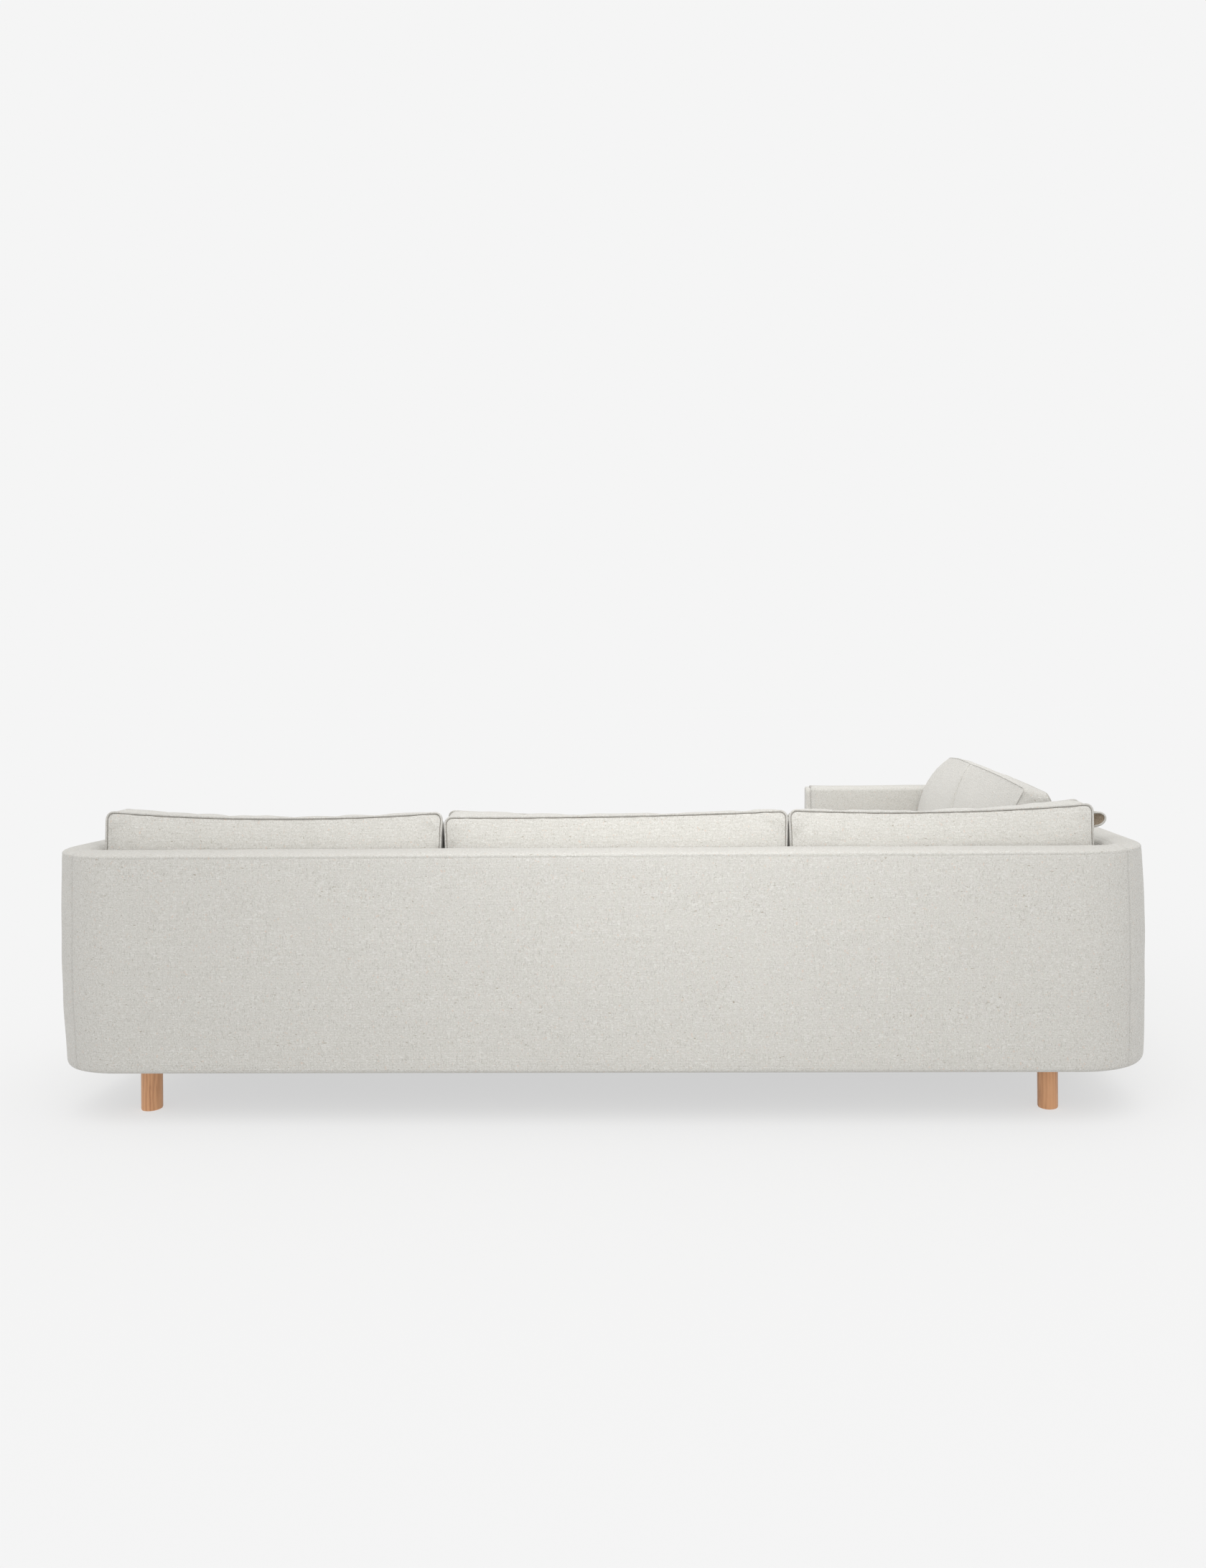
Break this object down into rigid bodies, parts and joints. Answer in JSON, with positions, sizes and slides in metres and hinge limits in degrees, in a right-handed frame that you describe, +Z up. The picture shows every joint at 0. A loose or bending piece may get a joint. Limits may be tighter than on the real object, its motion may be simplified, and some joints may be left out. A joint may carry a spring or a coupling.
{
  "type": "sectional sofa",
  "caption": "L-shaped upholstered sectional with rounded back corners, loose seat and back cushions, and short turned wooden legs.",
  "frame": {"origin": "on the floor, under the middle of the whole L's outline", "axes": "+X from the return's back to the left arm, along the long back; +Y towards the back of the long run; +Z up"},
  "size_m": [2.95, 2.35, 0.848],
  "materials": {
    "upholstery_fabric": "heathered oatmeal weave",
    "leg_wood": "satin reddish brown, open grain",
    "frame_timber": "raw sawn softwood",
    "elastic_webbing": "woven elastic",
    "black_lining": "non-woven black lining",
    "bracket_steel": "zinc plated"
  },
  "bodies": {
    "main_section": {"cover_left_arm": "upholstery_fabric", "cover_left_corner": "upholstery_fabric", "cover_main_back": "upholstery_fabric", "cover_right_corner": "upholstery_fabric", "cover_right_side": "upholstery_fabric", "panel_left_arm_front": "upholstery_fabric", "top_plate_left_arm": "frame_timber", "top_plate_main_back": "frame_timber", "top_plate_right_side": "frame_timber", "post_left_arm_front": "frame_timber", "post_left_corner": "frame_timber", "post_main_back_middle": "frame_timber", "post_right_corner": "frame_timber", "post_right_side_joint": "frame_timber", "rail_main_front": "frame_timber", "rail_main_back": "frame_timber", "rail_main_cross_left": "frame_timber", "rail_main_cross_right": "frame_timber", "dust_cover_main": "black_lining", "webbing_main": "elastic_webbing", "deck_cloth_main": "black_lining", "fascia_main": "upholstery_fabric", "leg_main_back_left": "leg_wood", "leg_main_back_right": "leg_wood", "leg_main_front_left": "leg_wood", "leg_main_front_right": "leg_wood", "connector_socket": "bracket_steel"},
    "return_section": {"cover_return_back": "upholstery_fabric", "cover_return_corner": "upholstery_fabric", "cover_return_arm": "upholstery_fabric", "panel_return_arm_front": "upholstery_fabric", "top_plate_return_back": "frame_timber", "top_plate_return_arm": "frame_timber", "post_return_joint": "frame_timber", "post_return_corner": "frame_timber", "post_return_arm_front": "frame_timber", "rail_return_back": "frame_timber", "rail_return_front": "frame_timber", "rail_return_joint": "frame_timber", "rail_return_cross_far": "frame_timber", "dust_cover_return": "black_lining", "webbing_return": "elastic_webbing", "deck_cloth_return": "black_lining", "fascia_return": "upholstery_fabric", "leg_return_back_joint": "leg_wood", "leg_return_front_joint": "leg_wood", "leg_return_back_far": "leg_wood", "leg_return_front_far": "leg_wood", "connector_hook": "bracket_steel"},
    "loose_seat_cushion_main_1": {"seat_cushion_main_1": "upholstery_fabric"},
    "loose_seat_cushion_main_2": {"seat_cushion_main_2": "upholstery_fabric"},
    "loose_seat_cushion_corner": {"seat_cushion_corner": "upholstery_fabric"},
    "loose_seat_cushion_return_1": {"seat_cushion_return_1": "upholstery_fabric"},
    "loose_seat_cushion_return_2": {"seat_cushion_return_2": "upholstery_fabric"},
    "loose_back_cushion_main_1": {"back_cushion_main_1": "upholstery_fabric"},
    "loose_back_cushion_main_2": {"back_cushion_main_2": "upholstery_fabric"},
    "loose_back_cushion_main_3": {"back_cushion_main_3": "upholstery_fabric"},
    "loose_back_cushion_return_1": {"back_cushion_return_1": "upholstery_fabric"},
    "loose_back_cushion_return_2": {"back_cushion_return_2": "upholstery_fabric"}
  },
  "joints": [
    {"name": "return_section_lift", "type": "slide", "parent": "main_section", "child": "return_section", "axis": [0, 0, 1], "range_m": [0, 0.035]},
    {"name": "seat_cushion_main_1_lift", "type": "slide", "parent": "main_section", "child": "loose_seat_cushion_main_1", "axis": [0, 0, 1], "range_m": [0, 0.5]},
    {"name": "seat_cushion_main_2_lift", "type": "slide", "parent": "main_section", "child": "loose_seat_cushion_main_2", "axis": [0, 0, 1], "range_m": [0, 0.5]},
    {"name": "seat_cushion_corner_lift", "type": "slide", "parent": "main_section", "child": "loose_seat_cushion_corner", "axis": [0, 0, 1], "range_m": [0, 0.5]},
    {"name": "seat_cushion_return_1_lift", "type": "slide", "parent": "return_section", "child": "loose_seat_cushion_return_1", "axis": [0, 0, 1], "range_m": [0, 0.5]},
    {"name": "seat_cushion_return_2_lift", "type": "slide", "parent": "return_section", "child": "loose_seat_cushion_return_2", "axis": [0, 0, 1], "range_m": [0, 0.5]},
    {"name": "back_cushion_main_1_lift", "type": "slide", "parent": "main_section", "child": "loose_back_cushion_main_1", "axis": [0, 0, 1], "range_m": [0, 0.5]},
    {"name": "back_cushion_main_2_lift", "type": "slide", "parent": "main_section", "child": "loose_back_cushion_main_2", "axis": [0, 0, 1], "range_m": [0, 0.5]},
    {"name": "back_cushion_main_3_lift", "type": "slide", "parent": "main_section", "child": "loose_back_cushion_main_3", "axis": [0, 0, 1], "range_m": [0, 0.5]},
    {"name": "back_cushion_return_1_lift", "type": "slide", "parent": "return_section", "child": "loose_back_cushion_return_1", "axis": [0, 0, 1], "range_m": [0, 0.5]},
    {"name": "back_cushion_return_2_lift", "type": "slide", "parent": "return_section", "child": "loose_back_cushion_return_2", "axis": [0, 0, 1], "range_m": [0, 0.5]}
  ]
}
